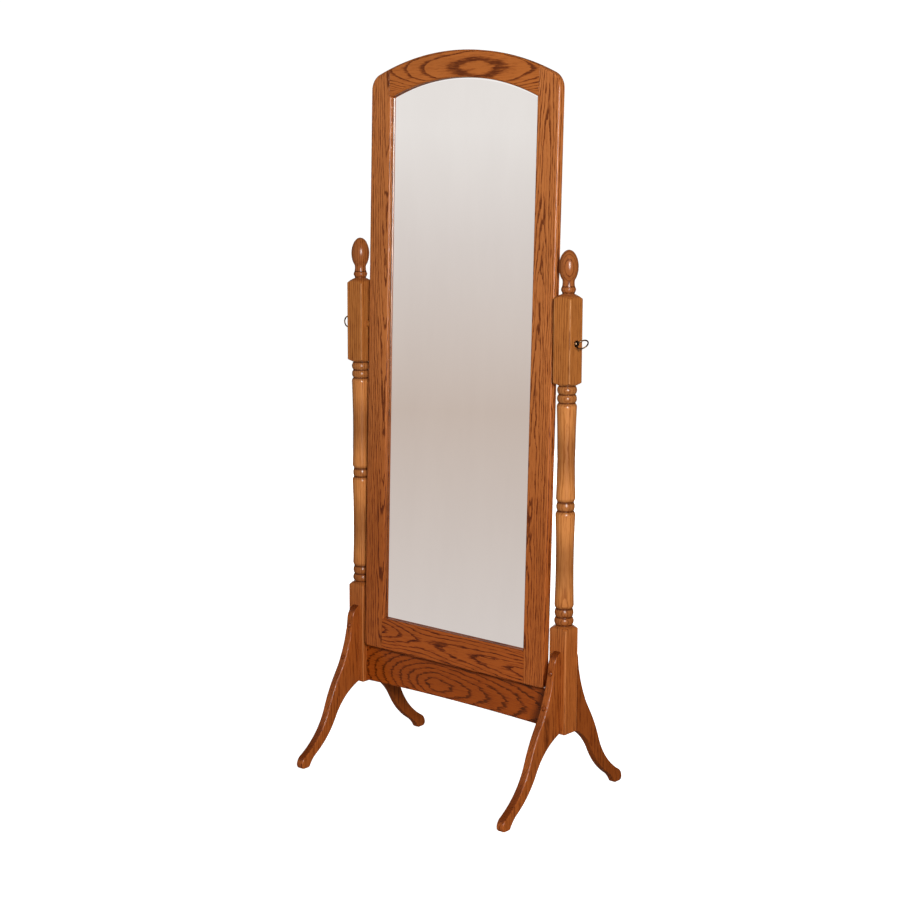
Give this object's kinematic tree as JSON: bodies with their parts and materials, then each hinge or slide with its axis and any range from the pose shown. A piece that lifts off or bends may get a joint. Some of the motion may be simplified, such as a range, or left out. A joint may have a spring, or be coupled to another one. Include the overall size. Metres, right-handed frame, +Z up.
{
  "type": "cheval floor mirror",
  "caption": "Free-standing full-length mirror: an arched frame that tilts on thumbscrew pivots between turned posts with flared feet.",
  "frame": {"origin": "on the floor, at the middle of the four feet", "axes": "+Z up, +X to the right seen from the front, the glass faces -Y"},
  "size_m": [0.7096, 0.438, 1.6499],
  "materials": {
    "post_oak": "medium oak stain under gloss lacquer",
    "base_oak": "medium oak stain under gloss lacquer",
    "frame_oak": "medium oak stain under gloss lacquer",
    "dowel_beech": "bare turned beech",
    "mirror_plate": "silvered plate glass with a bevelled edge",
    "backing_board": "bare hardboard",
    "zinc_steel": "dull zinc plate",
    "antique_bronze": "dark antique bronze over brass",
    "brass": "bare turned brass"
  },
  "bodies": {
    "stand": {"left_post": "post_oak", "right_post": "post_oak", "left_front_leg": "base_oak", "left_back_leg": "base_oak", "right_front_leg": "base_oak", "right_back_leg": "base_oak", "stretcher": "base_oak", "leg_screws": "zinc_steel", "leg_plugs": "base_oak", "stretcher_dowels": "dowel_beech", "left_pivot_bush": "brass", "right_pivot_bush": "brass", "left_washer": "antique_bronze", "right_washer": "antique_bronze"},
    "mirror": {"left_stile": "frame_oak", "right_stile": "frame_oak", "top_rail": "frame_oak", "bottom_rail": "frame_oak", "frame_dowels": "dowel_beech", "mirror_glass": "mirror_plate", "backing_panel": "backing_board", "backing_clips": "zinc_steel", "clip_screws": "zinc_steel", "left_spacer": "frame_oak", "right_spacer": "frame_oak", "left_threaded_insert": "brass", "right_threaded_insert": "brass"},
    "left_thumbscrew": {"left_thumbscrew": "antique_bronze"},
    "right_thumbscrew": {"right_thumbscrew": "antique_bronze"}
  },
  "joints": [
    {"name": "mirror_tilt", "type": "hinge", "parent": "stand", "child": "mirror", "pos_m": [0, 0, 1.032], "axis": [-1, 0, 0], "range_deg": [-180, 180]},
    {"name": "left_thumbscrew_turn", "type": "hinge", "parent": "mirror", "child": "left_thumbscrew", "pos_m": [-0.33, 0, 1.032], "axis": [-1, 0, 0], "range_deg": [0, 360]},
    {"name": "right_thumbscrew_turn", "type": "hinge", "parent": "mirror", "child": "right_thumbscrew", "pos_m": [0.33, 0, 1.032], "axis": [1, 0, 0], "range_deg": [0, 360]}
  ]
}
